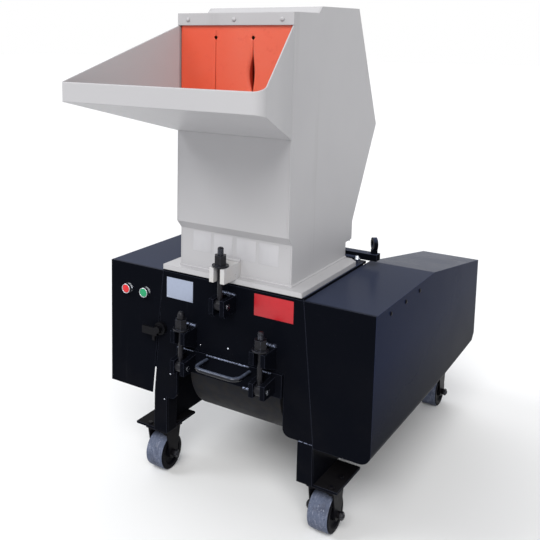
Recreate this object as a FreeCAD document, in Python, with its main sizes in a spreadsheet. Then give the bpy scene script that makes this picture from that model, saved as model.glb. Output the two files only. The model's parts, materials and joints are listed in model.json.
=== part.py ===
import FreeCAD, Part
import math
import os
import re
import Sketcher

# A plastics granulator on castors: a feed hopper with a flared tray stands on a cutting chamber,
# held by three swing bolts. The drive runs in the right-hand cover, the controls sit on the left one.
# X runs to the right, Y to the back and Z up, in millimetres. The origin is on the floor,
# in the middle of the whole. The distances to the back below are counted from the face of
# the front panel, and place() moves them to the origin.

SIZES = {
    # castors and feet
    "wheel_radius": 50,
    "wheel_width": 56,
    "wheel_left": 234,
    "wheel_right": 256,
    "wheel_front": 50,
    "wheel_base": 846,
    "axle_radius": 6,
    "axle_clear": 0.05,
    "hub_radius": 17,
    "hub_side_gap": 1.5,
    "castor_sheet": 4,
    "castor_plate_wide": 70,
    "castor_plate_long": 78,
    "castor_cheek_half": 32,
    "castor_foot_half": 15,
    "castor_foot_drop": 14,
    "castor_foot_round": 14,
    "castor_bridge_half": 22,
    "axle_end": 6,
    "axle_head_radius": 9,
    "axle_head_thick": 7,
    "crown_wide": 8,
    "crown_high": 1,
    "shoulder_high": 5,
    "tyre_thick": 14,
    "rim_lip": 4,
    "wheel_recess": 6,
    "foot_under": 124,
    "foot_thick": 6,
    "foot_inner": 199,
    "foot_outer": 301,
    "foot_long": 146,
    "foot_overhang": 40,
    # welded frame
    "panel_thick": 8,
    "plate_thick": 10,
    "chamber_top": 590,
    "top_half": 204,
    "knee_half": 238,
    "knee_high": 245,
    "foot_half": 240,
    "left_knee_half": 231,
    "left_foot_half": 232,
    "leg_inner": 199,
    "left_leg_inner": 191,
    "arch_half": 158,
    "arch_top": 396,
    "panel_under": 236,
    "arch_round": 20,
    "post_long": 40,
    "chamber_deep": 370,
    "tail_high": 300,
    "tail_slope": 70,
    "base_shelf_high": 196,
    "base_shelf_thick": 8,
    # joint between hopper and chamber
    "top_plate_thick": 7,
    "top_plate_over": 22,
    "flange_thick": 13,
    "flange_half": 201,
    "flange_front": -5,
    "flange_short": 22,
    "flange_corner": 22,
    # hopper
    "sheet_thick": 4,
    "tower_half": 161,
    "tower_under": 734,
    "tower_top": 1268,
    "roof_step_from": 132,
    "roof_step_to": 150,
    "roof_rise": 16,
    "roof_back_out": 34,
    "back_point_out": 190,
    "back_point_high": 962,
    "back_under_out": 40,
    "back_under_high": 704,
    "neck_front": 20,
    "neck_top": 713,
    "neck_back_high": 654,
    "back_lip": 6,
    "strip_high": 30,
    "strip_thick": 3,
    "mouth_drop": 297,
    # tray
    "tray_reach": 329,
    "tray_half": 264,
    "lip_drop": 162,
    "lip_high": 44,
    "tray_sheet": 4,
    "tray_round_right": 22,
    "tray_round_left": 6,
    # curtain
    "curtain_thick": 3,
    "curtain_gap": 3,
    "curtain_short": 14,
    "curtain_slit": 52,
    "slit_wide": 1.5,
    # swing bolts
    "bolt_front": -45,
    "bolt_radius": 7,
    "bolt_reach": 100,
    "bolt_tail": 47,
    "eye_radius": 14,
    "eye_wide": 18,
    "washer_radius": 21,
    "washer_thick": 4,
    "nut_flats": 28,
    "nut_high": 25,
    "seat_gap": 0.3,
    "pin_radius": 6,
    "pin_clear": 0.05,
    "pin_head": 3,
    "pin_head_radius": 7,
    "lug_front": -62,
    "lug_thick": 12,
    "lug_half_gap": 9.5,
    "side_bolt_x": 116,
    "top_pin_high": 549,
    "side_pin_high": 359,
    "fork_root": 17,
    "fork_ease": 2,
    "top_lug_above": 18,
    "top_lug_below": 28,
    "side_lug_above": 19,
    "side_lug_below": 17,
    "side_fork_front_high": 425,
    "side_fork_gap": 4,
    # screen cradle under the chamber
    "cradle_face": -6,
    "cradle_plate_thick": 12,
    "cradle_top": 393,
    "cradle_under": 332,
    "cradle_side_gap": 3,
    "rim_thick": 10,
    "trough_front": 30,
    "trough_rear": 32,
    "trough_sheet": 6,
    "trough_half": 134,
    "handle_left": -60,
    "handle_right": 66,
    "handle_high": 377,
    "handle_reach": 64,
    "handle_radius": 6,
    "handle_bend": 24,
    # covers
    "left_cover_half": 382.5,
    "left_cover_under": 237,
    "left_cover_over": 10,
    "left_cover_rise": 95,
    "cover_sheet": 3,
    "cover_gap": 0.8,
    "guard_half": 382.5,
    "guard_under": 228,
    "guard_rear_rise": 34,
    "guard_fold": 420,
    "guard_back": 876,
    "guard_back_high": 518,
    "guard_corner": 28,
    "guard_heel": 20,
    # controls on the left cover
    "button_high": 520,
    "stop_x": -322,
    "start_x": -262,
    "bezel_radius": 15,
    "bezel_thick": 6,
    "cap_radius": 11,
    "cap_thick": 6,
    "bezel_slope": 3,
    "cap_slope": 2,
    "latch_x": -208,
    "latch_high": 430,
    "latch_radius": 17,
    "latch_thick": 12,
    "latch_hub": 9,
    "latch_hub_thick": 14,
    "latch_lever": 48,
    "latch_lever_high": 21,
    "latch_lever_thick": 7,
    "latch_stem": 8,
    "latch_stem_place": 19,
    "latch_stem_drop": 34,
    # rear beam and lifting eye
    "beam_half": 243,
    "beam_lift": 10,
    "beam_high": 18,
    "beam_deep": 28,
    "knuckle_radius": 8,
    "knuckle_lift": 12,
    "knuckle_inner": 112,
    "knuckle_outer": 190,
    "lift_eye_x": 231,
    "lift_turn": 36,
    "lift_ring": 18,
    "lift_hole": 9.5,
    "lift_thick": 11,
    "lift_collar": 9,
    "lift_collar_high": 12,
    "lift_sunk": 3,
    # motor behind the chamber
    "motor_radius": 122,
    "motor_long": 260,
    "motor_back": 660,
    "motor_shaft_high": 132,
    "motor_end_radius": 112,
    "motor_end_thick": 22,
    "cowl_radius": 116,
    "cowl_long": 62,
    "fin_count": 24,
    "fin_thick": 4,
    "fin_deep": 12,
    "motor_foot_half": 108,
    "motor_foot_wide": 50,
    "motor_foot_spread": 158,
    "motor_foot_reach": 52,
    "terminal_size": 110,
    "terminal_high": 54,
}

document = FreeCAD.newDocument("granulator")
sheet = document.addObject("Spreadsheet::Sheet", "Sheet")
for row, (alias, value) in enumerate(SIZES.items(), start=1):
    sheet.set("A%d" % row, alias)
    sheet.set("B%d" % row, str(value))
    sheet.setAlias("B%d" % row, alias)
document.recompute()

# Places that follow from the sizes above.
FOLLOWS = {
    "face_y": "(tray_reach - wheel_front - wheel_base - wheel_radius) / 2",
    "foot_top": "foot_under + foot_thick",
    "rear_wheel": "wheel_front + wheel_base",
    "frame_back": "rear_wheel + foot_overhang",
    "flange_under": "chamber_top + top_plate_thick",
    "flange_top": "flange_under + flange_thick",
    "flange_back": "chamber_deep - flange_short",
    "top_plate_deep": "chamber_deep + top_plate_over",
    "chamber_under": "cradle_under + rim_thick + seat_gap",
    "roof_top": "tower_top + roof_rise",
    "roof_back": "flange_back + roof_back_out",
    "back_point": "flange_back + back_point_out",
    "back_under": "flange_back + back_under_out",
    "strip_under": "tower_top - strip_high",
    "mouth_under": "tower_top - mouth_drop",
    "curtain_under": "mouth_under + curtain_short",
    "lip_top": "tower_top - lip_drop",
    "lip_under": "lip_top - lip_high",
    "cradle_back": "cradle_face + cradle_plate_thick",
    "trough_radius": "(chamber_deep - trough_front - trough_rear) / 2",
    "trough_middle": "trough_front + trough_radius",
    "left_cover_deep": "chamber_deep + left_cover_over",
    "beam_front": "flange_back + 2 * knuckle_radius",
    "motor_high": "base_shelf_high + base_shelf_thick + motor_shaft_high",
}
PARTS = {}


def bound(text):
    """An expression on the sheet, from a formula that names its cells."""
    return re.sub(r"[a-z][a-z_]+", cell_name, str(text))


def cell_name(match):
    """The sheet's own name for a cell, the formula of a place that follows, or the word as it is."""
    word = match.group(0)
    if word in FOLLOWS:
        return "(%s)" % bound(FOLLOWS[word])
    return "Sheet." + word if word in SIZES else word


def half_at(height, knee="knee_half"):
    """The frame's outer distance from its middle at a height between the knee and the chamber's top."""
    slope = "(%s - top_half) / (chamber_top - knee_high)" % knee
    return "(top_half + (chamber_top - (%s)) * %s)" % (height, slope)


def place(thing, x="0", y="0", z="0"):
    """Bind an object's place to the sheet, with y counted from the front panel's face."""
    for axis, value in (("x", x), ("y", "%s + face_y" % y), ("z", z)):
        thing.setExpression(".Placement.Base." + axis, bound(value))


def turn(thing, axis, degrees):
    """Turn an object about an axis through its own origin."""
    thing.Placement = FreeCAD.Placement(FreeCAD.Vector(), FreeCAD.Rotation(FreeCAD.Vector(*axis), degrees))


def block(name, x, y, z, long, deep, high):
    """A straight block from its low corner and its three sizes."""
    thing = document.addObject("Part::Box", name)
    thing.setExpression("Length", bound(long))
    thing.setExpression("Width", bound(deep))
    thing.setExpression("Height", bound(high))
    place(thing, x, y, z)
    return thing


def rod(name, x, y, z, radius, length, along="z"):
    """A round bar that starts at a point and runs along X, Y or Z."""
    thing = document.addObject("Part::Cylinder", name)
    if along == "x":
        turn(thing, (0, 1, 0), 90)
    if along == "y":
        turn(thing, (1, 0, 0), -90)
    thing.setExpression("Radius", bound(radius))
    thing.setExpression("Height", bound(length))
    place(thing, x, y, z)
    return thing


def joined(name, pieces):
    """Several touching solids welded into one."""
    thing = document.addObject("Part::MultiFuse", name)
    thing.Shapes = pieces
    return thing


def grouped(name, pieces):
    """Separate solids of one kind kept in one piece."""
    thing = document.addObject("Part::Compound", name)
    thing.Links = pieces
    return thing


def cut(name, base, tool):
    """A solid with another one taken away."""
    thing = document.addObject("Part::Cut", name)
    thing.Base = base
    thing.Tool = tool
    return thing


def overlap(name, first, second):
    """What two solids have in common."""
    thing = document.addObject("Part::Common", name)
    thing.Base = first
    thing.Tool = second
    return thing


def mirrored(name, source):
    """The left-hand twin of a right-hand piece."""
    thing = document.addObject("Part::Mirroring", name)
    thing.Source = source
    thing.Base = FreeCAD.Vector(0, 0, 0)
    thing.Normal = FreeCAD.Vector(1, 0, 0)
    return thing


def draw(sketch, points):
    """A closed outline with every corner bound to the sheet."""
    count = len(points)
    spots = []
    for index in range(count):
        angle = 2 * math.pi * index / count
        spots.append(FreeCAD.Vector(50 * math.cos(angle), 50 * math.sin(angle), 0))
    for index in range(count):
        sketch.addGeometry(Part.LineSegment(spots[index], spots[(index + 1) % count]), False)
    for index in range(count):
        follower = (index + 1) % count
        sketch.addConstraint(Sketcher.Constraint("Coincident", index, 2, follower, 1))
    for index, (first, second) in enumerate(points):
        for kind, value, now in (("DistanceX", first, spots[index].x), ("DistanceY", second, spots[index].y)):
            number = sketch.addConstraint(Sketcher.Constraint(kind, -1, 1, index, 1, now))
            sketch.setExpression("Constraints[%d]" % number, bound(value))


def outline(body, name, plane, points):
    """A sketch with a straight-sided outline on one of a body's own planes."""
    sketch = body.newObject("Sketcher::SketchObject", name + "_outline")
    support = [feature for feature in body.Origin.OriginFeatures if feature.Role == plane + "_Plane"][0]
    sketch.AttachmentSupport = [(support, "")]
    sketch.MapMode = "FlatFace"
    draw(sketch, points)
    return sketch


def rounded(body, sketch, rounds):
    """Round the long edges that start at the given corners of the outline."""
    document.recompute()
    back = sketch.Placement.inverse()
    for radius, corners in rounds.items():
        wanted = [sketch.Geometry[corner].StartPoint for corner in corners]
        names = []
        for index, edge in enumerate(body.Tip.Shape.Edges, start=1):
            ends = [back.multVec(vertex.Point) for vertex in edge.Vertexes]
            if len(ends) != 2 or abs(ends[0].z - ends[1].z) < 0.01:
                continue
            if any(all(math.hypot(end.x - spot.x, end.y - spot.y) < 0.01 for end in ends) for spot in wanted):
                names.append("Edge%d" % index)
        solid = body.Tip
        fillet = body.newObject("PartDesign::Fillet", body.Name + "_round")
        fillet.Base = (solid, names)
        fillet.setExpression("Radius", bound(radius))
        document.recompute()


def prism(name, plane, points, start, length, rounds=None):
    """A plate or bar: an outline on a plane, from a start along the plane's normal."""
    body = document.addObject("PartDesign::Body", name)
    sketch = outline(body, name, plane, points)
    pad = body.newObject("PartDesign::Pad", name + "_pad")
    pad.Profile = sketch
    pad.setExpression("Length", bound(length))
    pad.Reversed = plane == "XZ"
    sketch.Visibility = False
    if rounds:
        rounded(body, sketch, rounds)
    if plane == "XY":
        place(body, z=start)
    if plane == "XZ":
        place(body, y=start)
    if plane == "YZ":
        place(body, x=start)
    return body


def turned(name, points, x, y, z, along="x"):
    """A round piece: points give distance along the axis and radius."""
    body = document.addObject("PartDesign::Body", name)
    sketch = outline(body, name, "XY", points)
    spin = body.newObject("PartDesign::Revolution", name + "_turn")
    spin.Profile = sketch
    spin.ReferenceAxis = (sketch, ["H_Axis"])
    spin.Angle = 360
    if along == "y":
        turn(body, (0, 0, 1), 90)
    if along == "z":
        turn(body, (0, 1, 0), -90)
    place(body, x, y, z)
    return body


def keep(name, thing):
    """Name a finished sub-part."""
    thing.Label = name
    PARTS[name] = thing


def front_panel():
    """The front plate with its arch over the screen cradle and the two legs below it."""
    points = [
        ("-top_half", "chamber_top"),
        ("top_half", "chamber_top"),
        ("knee_half", "knee_high"),
        ("foot_half", "foot_top"),
        ("leg_inner", "foot_top"),
        ("leg_inner", "panel_under"),
        ("arch_half", "panel_under"),
        ("arch_half", "arch_top"),
        ("-arch_half", "arch_top"),
        ("-arch_half", "panel_under"),
        ("-left_leg_inner", "panel_under"),
        ("-left_leg_inner", "foot_top"),
        ("-left_foot_half", "foot_top"),
        ("-left_knee_half", "knee_high"),
    ]
    keep("front_panel", prism("front_panel", "XZ", points, "0", "panel_thick", {"arch_round": [6, 9]}))


def side_plates():
    """The two leaning side plates, high beside the chamber and low under the motor."""
    above = [
        ("chamber_deep", "chamber_top + plate_thick"),
        ("chamber_deep", "tail_high + tail_slope"),
        ("chamber_deep + tail_slope", "tail_high"),
        ("frame_back + plate_thick", "tail_high"),
        ("frame_back + plate_thick", "chamber_top + plate_thick"),
    ]
    for side, sign, knee, foot in (("right", "", "knee_half", "foot_half"),
                                   ("left", "-", "left_knee_half", "left_foot_half")):
        points = [
            (sign + "top_half", "chamber_top"),
            (sign + knee, "knee_high"),
            (sign + foot, "foot_top"),
            ("%s(%s - plate_thick)" % (sign, foot), "foot_top"),
            ("%s(%s - plate_thick)" % (sign, knee), "knee_high"),
            (sign + "(top_half - plate_thick)", "chamber_top"),
        ]
        slab = prism("side_slab_" + side, "XZ", points, "panel_thick", "frame_back - 2 * panel_thick")
        notch = prism("side_notch_" + side, "YZ", above, "-foot_half", "2 * foot_half")
        keep("side_plate_" + side, cut("side_plate_" + side, slab, notch))


def rear_panel():
    """The plate that closes the low tail of the frame."""
    points = [
        (half_at("tail_high"), "tail_high"),
        ("knee_half", "knee_high"),
        ("foot_half", "foot_top"),
        ("-left_foot_half", "foot_top"),
        ("-left_knee_half", "knee_high"),
        ("-" + half_at("tail_high", "left_knee_half"), "tail_high"),
    ]
    keep("rear_panel", prism("rear_panel", "XZ", points, "frame_back - panel_thick", "panel_thick"))


def corner_posts():
    """Four short posts inside the side plates, on the foot plates."""
    posts = []
    spots = (
        ("front", "panel_thick", "panel_under"),
        ("rear", "frame_back - panel_thick - post_long", "base_shelf_high - seat_gap"),
    )
    for end, back, top in spots:
        high = top + " - foot_top"
        wide = "knee_half - plate_thick - leg_inner"
        posts.append(block("post_right_" + end, "leg_inner", back, "foot_top", wide, "post_long", high))
        wide = "left_knee_half - plate_thick - left_leg_inner"
        start = "-(left_knee_half - plate_thick)"
        posts.append(block("post_left_" + end, start, back, "foot_top", wide, "post_long", high))
    keep("corner_posts", grouped("corner_posts", posts))


def foot_plates():
    """Four plates that carry the castors."""
    plates = []
    wide = "foot_outer - foot_inner"
    for end, back in (("front", "wheel_front - foot_overhang"), ("rear", "frame_back - foot_long")):
        for side, start in (("right", "foot_inner"), ("left", "-foot_outer")):
            label = "foot_%s_%s" % (side, end)
            plates.append(block(label, start, back, "foot_under", wide, "foot_long", "foot_thick"))
    keep("foot_plates", grouped("foot_plates", plates))


def castor(label, x, y):
    """One fixed castor: a bent steel fork with its axle, and the wheel that turns on it."""
    name = "castor_" + label
    cheek_gap = "(wheel_width / 2 + hub_side_gap)"
    under = "foot_under - castor_sheet"
    top = block(name + "_plate", "%s - castor_plate_wide / 2" % x, "%s - castor_plate_long / 2" % y, under,
                "castor_plate_wide", "castor_plate_long", "castor_sheet")
    profile = [
        ("%s - castor_cheek_half" % y, under),
        ("%s + castor_cheek_half" % y, under),
        ("%s + castor_foot_half" % y, "wheel_radius - castor_foot_drop"),
        ("%s - castor_foot_half" % y, "wheel_radius - castor_foot_drop"),
    ]
    outside = "(%s + castor_sheet)" % cheek_gap
    cheeks = []
    for side, start in (("a", "%s + %s" % (x, cheek_gap)), ("b", "%s - %s" % (x, outside))):
        cheek = name + "_cheek_" + side
        cheeks.append(prism(cheek, "YZ", profile, start, "castor_sheet", {"castor_foot_round": [2, 3]}))
    bridge = block(name + "_bridge", "%s - %s" % (x, outside), "%s - castor_bridge_half" % y,
                   under + " - castor_sheet", "2 * " + outside, "2 * castor_bridge_half", "castor_sheet")
    axle = rod(name + "_axle", "%s - %s - axle_end" % (x, outside), y, "wheel_radius",
               "axle_radius", "2 * (%s + axle_end)" % outside, "x")
    heads = []
    for side, start in (("a", "%s + %s" % (x, outside)), ("b", "%s - %s - axle_head_thick" % (x, outside))):
        head = name + "_head_" + side
        heads.append(rod(head, start, y, "wheel_radius", "axle_head_radius", "axle_head_thick", "x"))
    keep(name + "_fork", joined(name + "_fork", [top, bridge, axle] + cheeks + heads))
    half = "wheel_width / 2"
    rim = [
        ("-" + half, "wheel_radius - shoulder_high"),
        ("-%s + crown_wide / 4" % half, "wheel_radius - crown_high"),
        ("-%s + crown_wide" % half, "wheel_radius"),
        (half + " - crown_wide", "wheel_radius"),
        (half + " - crown_wide / 4", "wheel_radius - crown_high"),
        (half, "wheel_radius - shoulder_high"),
        (half, "wheel_radius - tyre_thick"),
        (half + " - wheel_recess", "wheel_radius - tyre_thick - rim_lip"),
        (half + " - wheel_recess", "hub_radius"),
        (half, "hub_radius"),
        (half, "axle_radius + axle_clear"),
        ("-" + half, "axle_radius + axle_clear"),
        ("-" + half, "hub_radius"),
        ("-%s + wheel_recess" % half, "hub_radius"),
        ("-%s + wheel_recess" % half, "wheel_radius - tyre_thick - rim_lip"),
        ("-" + half, "wheel_radius - tyre_thick"),
    ]
    keep("wheel_" + label, turned("wheel_" + label, rim, x, y, "wheel_radius"))


def chamber():
    """The closed cutting chamber between the side plates, and the plate on top of it."""
    points = [
        ("-(top_half - plate_thick)", "chamber_top"),
        ("top_half - plate_thick", "chamber_top"),
        (half_at("chamber_under") + " - plate_thick", "chamber_under"),
        ("-(%s - plate_thick)" % half_at("chamber_under", "left_knee_half"), "chamber_under"),
    ]
    housing = prism("chamber_housing", "XZ", points, "panel_thick", "chamber_deep - panel_thick")
    keep("chamber_housing", housing)
    top = block("chamber_top_plate", "-top_half", "0", "chamber_top", "2 * top_half", "top_plate_deep",
                "top_plate_thick")
    keep("chamber_top_plate", top)


def hopper_sides():
    """The two side sheets of the feed hopper, with the point in the back and the neck below."""
    points = [
        ("0", "tower_top"),
        ("roof_step_from", "tower_top"),
        ("roof_step_to", "roof_top"),
        ("roof_back", "roof_top"),
        ("back_point", "back_point_high"),
        ("back_under", "back_under_high"),
        ("back_under", "neck_back_high"),
        ("flange_back", "neck_back_high"),
        ("flange_back", "flange_top"),
        ("neck_front", "flange_top"),
        ("neck_front", "neck_top"),
        ("0", "tower_under"),
    ]
    right = prism("hopper_side_right", "YZ", points, "tower_half - sheet_thick", "sheet_thick")
    keep("hopper_side_right", right)
    keep("hopper_side_left", mirrored("hopper_side_left", right))


def hopper_front():
    """The front sheet under the mouth, bent in to the neck."""
    points = [
        ("0", "mouth_under"),
        ("0", "tower_under"),
        ("neck_front", "neck_top"),
        ("neck_front", "flange_top"),
        ("neck_front + sheet_thick", "flange_top"),
        ("neck_front + sheet_thick", "neck_top + sheet_thick / 2"),
        ("sheet_thick", "tower_under + sheet_thick / 2"),
        ("sheet_thick", "mouth_under"),
    ]
    wide = "2 * (tower_half - sheet_thick)"
    keep("hopper_front", prism("hopper_front", "YZ", points, "-(tower_half - sheet_thick)", wide))


def hopper_back():
    """The back sheet, out to its point and in again to the neck."""
    over = "sheet_thick * sqrt(1 + ((back_point - roof_back) / (roof_top - back_point_high)) ^ 2)"
    below = "sheet_thick * sqrt(1 + ((back_point - back_under) / (back_point_high - back_under_high)) ^ 2)"
    points = [
        ("roof_back", "roof_top"),
        ("back_point", "back_point_high"),
        ("back_under", "back_under_high"),
        ("back_under", "neck_back_high - back_lip"),
        ("back_under - sheet_thick", "neck_back_high - back_lip"),
        ("back_under - sheet_thick", "back_under_high"),
        ("back_point - " + below, "back_point_high"),
        ("roof_back - " + over, "roof_top"),
    ]
    wide = "2 * (tower_half - sheet_thick)"
    start = "-(tower_half - sheet_thick)"
    bent = prism("back_sheet", "YZ", points, start, wide)
    step = [
        ("back_under - sheet_thick", "neck_back_high"),
        ("flange_back - sheet_thick", "neck_back_high"),
        ("flange_back - sheet_thick", "flange_top"),
        ("flange_back", "flange_top"),
        ("flange_back", "neck_back_high - sheet_thick"),
        ("back_under", "neck_back_high - sheet_thick"),
        ("back_under", "neck_back_high"),
    ]
    keep("hopper_back", joined("hopper_back", [bent, prism("neck_back", "YZ", step, start, wide)]))


def hopper_roof():
    """The roof sheet with its raised rear half."""
    points = [
        ("0", "tower_top"),
        ("roof_step_from", "tower_top"),
        ("roof_step_to", "roof_top"),
        ("roof_back - 2 * sheet_thick", "roof_top"),
        ("roof_back - 2 * sheet_thick", "roof_top - sheet_thick"),
        ("roof_step_to + sheet_thick / 2", "roof_top - sheet_thick"),
        ("roof_step_from + sheet_thick / 2", "tower_top - sheet_thick"),
        ("0", "tower_top - sheet_thick"),
    ]
    wide = "2 * (tower_half - sheet_thick)"
    keep("hopper_roof", prism("hopper_roof", "YZ", points, "-(tower_half - sheet_thick)", wide))
    strip = block("mouth_strip", "-tower_half", "-strip_thick", "strip_under", "2 * tower_half",
                  "strip_thick", "strip_high")
    keep("mouth_strip", strip)


def curtain():
    """Three hanging flaps that stop chips from flying out of the mouth."""
    flaps = []
    inner = "(tower_half - sheet_thick - curtain_gap)"
    edges = [("-" + inner, "-curtain_slit - slit_wide / 2"),
             ("-curtain_slit + slit_wide / 2", "curtain_slit - slit_wide / 2"),
             ("curtain_slit + slit_wide / 2", inner)]
    for number, (left, right) in enumerate(edges):
        wide = "%s - (%s)" % (right, left)
        flaps.append(block("flap_%d" % number, left, "curtain_gap", "curtain_under", wide, "curtain_thick",
                           "tower_top - sheet_thick - curtain_under - seat_gap"))
    keep("curtain", grouped("curtain", flaps))


def tray_space(name, inset, side):
    """The flared plan of the tray, set in from its outer faces and cut to a side outline."""
    plan = [
        ("-tower_half + " + inset, "0"),
        ("-tray_half + " + inset, "-tray_reach + " + inset),
        ("tray_half - " + inset, "-tray_reach + " + inset),
        ("tower_half - " + inset, "0"),
    ]
    footprint = prism(name + "_plan", "XY", plan, "mouth_under - tray_sheet", "tower_top - mouth_under",
                      {"tray_round_left - " + inset: [1], "tray_round_right - " + inset: [2]})
    profile = prism(name + "_side", "YZ", side, "-tray_half - tray_sheet", "2 * (tray_half + tray_sheet)")
    return overlap(name, footprint, profile)


def tray():
    """The flared feed tray: one folded sheet, open above, with a turned-up lip."""
    outer = tray_space("tray_outer", "0", [
        ("0", "mouth_under"),
        ("-tray_reach", "lip_under"),
        ("-tray_reach", "lip_top"),
        ("0", "strip_under"),
    ])
    inner = tray_space("tray_inner", "tray_sheet", [
        ("1", "mouth_under + tray_sheet"),
        ("-tray_reach - 1", "lip_under + tray_sheet"),
        ("-tray_reach - 1", "tower_top"),
        ("1", "tower_top"),
    ])
    keep("feed_tray", cut("feed_tray", outer, inner))


def hopper_flange():
    """The bolted flange at the foot of the neck."""
    points = [
        ("-flange_half", "flange_front"),
        ("flange_half", "flange_front"),
        ("flange_half", "flange_back - flange_corner"),
        ("flange_half - flange_corner", "flange_back"),
        ("-flange_half + flange_corner", "flange_back"),
        ("-flange_half", "flange_back - flange_corner"),
    ]
    slab = prism("flange_slab", "XY", points, "flange_under", "flange_thick")
    inner = "(tower_half - sheet_thick)"
    hole = block("flange_hole", "-" + inner, "neck_front + sheet_thick", "flange_under - 1",
                 "2 * " + inner, "flange_back - neck_front - 2 * sheet_thick", "flange_thick + 2")
    keep("hopper_flange", cut("hopper_flange", slab, hole))


def lug_pair(name, x, profile):
    """Two cheeks of one outline with a gap between them."""
    left = prism(name + "_left", "YZ", profile, "%s - lug_half_gap - lug_thick" % x, "lug_thick")
    right = prism(name + "_right", "YZ", profile, "%s + lug_half_gap" % x, "lug_thick")
    return [left, right]


def hopper_fork():
    """The fork on the hopper that the top swing bolt drops into."""
    seat = "top_pin_high + bolt_reach"
    profile = [
        ("lug_front", seat + " - fork_ease"),
        ("bolt_front", seat),
        ("neck_front", seat),
        ("neck_front", "flange_top"),
        ("lug_front", "flange_top"),
    ]
    half = "(lug_half_gap + lug_thick)"
    body = prism("hopper_fork_block", "YZ", profile, "-" + half, "2 * " + half)
    slot = block("hopper_fork_slot", "-lug_half_gap", "lug_front - 1", "flange_top - 1",
                 "2 * lug_half_gap", "bolt_front + fork_root - lug_front + 1", seat + " - flange_top + 2")
    keep("hopper_fork", cut("hopper_fork", body, slot))


def side_forks():
    """The two forks on the front panel for the lower swing bolts."""
    pieces = []
    seat = "side_pin_high + bolt_reach"
    foot = "arch_top + side_fork_gap"
    profile = [
        ("lug_front", seat + " - fork_ease"),
        ("bolt_front", seat),
        ("0", seat),
        ("0", foot),
        ("lug_front", "side_fork_front_high"),
    ]
    for side, x in (("left", "-side_bolt_x"), ("right", "side_bolt_x")):
        pieces += lug_pair("side_fork_" + side, x, profile)
    keep("panel_forks", grouped("panel_forks", pieces))


def lugs():
    """The ears that carry the pins of the three swing bolts."""
    profile = [
        ("lug_front", "top_pin_high + top_lug_above"),
        ("0", "top_pin_high + top_lug_above"),
        ("0", "top_pin_high - top_lug_below + 6"),
        ("lug_front + 6", "top_pin_high - top_lug_below"),
        ("lug_front", "top_pin_high - top_lug_below + 8"),
    ]
    keep("top_lugs", grouped("top_lugs", lug_pair("top_lug", "0", profile)))
    profile = [
        ("lug_front", "side_pin_high + side_lug_above"),
        ("cradle_face", "side_pin_high + side_lug_above + 6"),
        ("cradle_face", "side_pin_high - side_lug_below"),
        ("lug_front", "side_pin_high - side_lug_below"),
    ]
    pieces = []
    for side, x in (("left", "-side_bolt_x"), ("right", "side_bolt_x")):
        pieces += lug_pair("cradle_lug_" + side, x, profile)
    keep("cradle_lugs", grouped("cradle_lugs", pieces))


def hexagon(name, x, y, z, flats, high):
    """A six-sided nut standing upright."""
    corner = "%s / sqrt(3)" % flats
    points = [
        (corner, "0"),
        (corner + " / 2", flats + " / 2"),
        ("-%s / 2" % corner, flats + " / 2"),
        ("-" + corner, "0"),
        ("-%s / 2" % corner, "-%s / 2" % flats),
        (corner + " / 2", "-%s / 2" % flats),
    ]
    body = prism(name, "XY", points, z, high)
    place(body, x, y, z)
    return body


def swing_bolt(label, x, pin_high):
    """An eye bolt with its washer and nut, swinging on a pin between two ears."""
    name = "swing_bolt_" + label
    eye = rod(name + "_eye", "%s - eye_wide / 2" % x, "bolt_front", pin_high, "eye_radius", "eye_wide", "x")
    shank = rod(name + "_shank", x, "bolt_front", pin_high + " + pin_radius + 4", "bolt_radius",
                "bolt_reach + bolt_tail - pin_radius - 4")
    seat = "%s + bolt_reach + seat_gap" % pin_high
    washer = rod(name + "_washer", x, "bolt_front", seat, "washer_radius", "washer_thick")
    nut = hexagon(name + "_nut", x, "bolt_front", seat + " + washer_thick", "nut_flats", "nut_high")
    whole = joined(name + "_whole", [eye, shank, washer, nut])
    bore = rod(name + "_bore", "%s - eye_wide" % x, "bolt_front", pin_high,
               "pin_radius + pin_clear", "2 * eye_wide", "x")
    keep(name, cut(name, whole, bore))


def pins():
    """The three pins, headed outside the ears, each in its ears' holes."""
    spots = (
        ("top", "0", "top_pin_high", "top_lugs"),
        ("left", "-side_bolt_x", "side_pin_high", "cradle_lugs"),
        ("right", "side_bolt_x", "side_pin_high", "cradle_lugs"),
    )
    reach = "(lug_half_gap + lug_thick)"
    holes = {"top_lugs": [], "cradle_lugs": []}
    whole = []
    for label, x, high, carrier in spots:
        name = "pin_" + label
        start = "%s - %s" % (x, reach)
        pieces = [rod(name + "_shaft", start, "bolt_front", high, "pin_radius", "2 * " + reach, "x")]
        for side, end in (("a", "%s + %s" % (x, reach)), ("b", start + " - pin_head")):
            head = rod("%s_%s" % (name, side), end, "bolt_front", high, "pin_head_radius", "pin_head", "x")
            pieces.append(head)
        whole.append(joined(name, pieces))
        hole = rod(name + "_hole", start + " - pin_head", "bolt_front", high,
                   "pin_radius", "2 * (%s + pin_head)" % reach, "x")
        holes[carrier].append(hole)
    keep("bolt_pins", grouped("bolt_pins", whole))
    for carrier, bores in holes.items():
        solid = PARTS[carrier]
        solid.Label = carrier + "_solid"
        keep(carrier, cut(carrier + "_drilled", solid, grouped(carrier + "_holes", bores)))


def half_round(name, x, radius, length):
    """The lower half of a round bar lying along X at the trough's middle."""
    thing = document.addObject("Part::Cylinder", name)
    thing.Angle = 180
    lying = FreeCAD.Rotation(FreeCAD.Vector(0, 1, 0), 90)
    downward = FreeCAD.Rotation(FreeCAD.Vector(0, 0, 1), -90)
    thing.Placement = FreeCAD.Placement(FreeCAD.Vector(), lying.multiply(downward))
    thing.setExpression("Radius", bound(radius))
    thing.setExpression("Height", bound(length))
    place(thing, x, "trough_middle", "cradle_under")
    return thing


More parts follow.
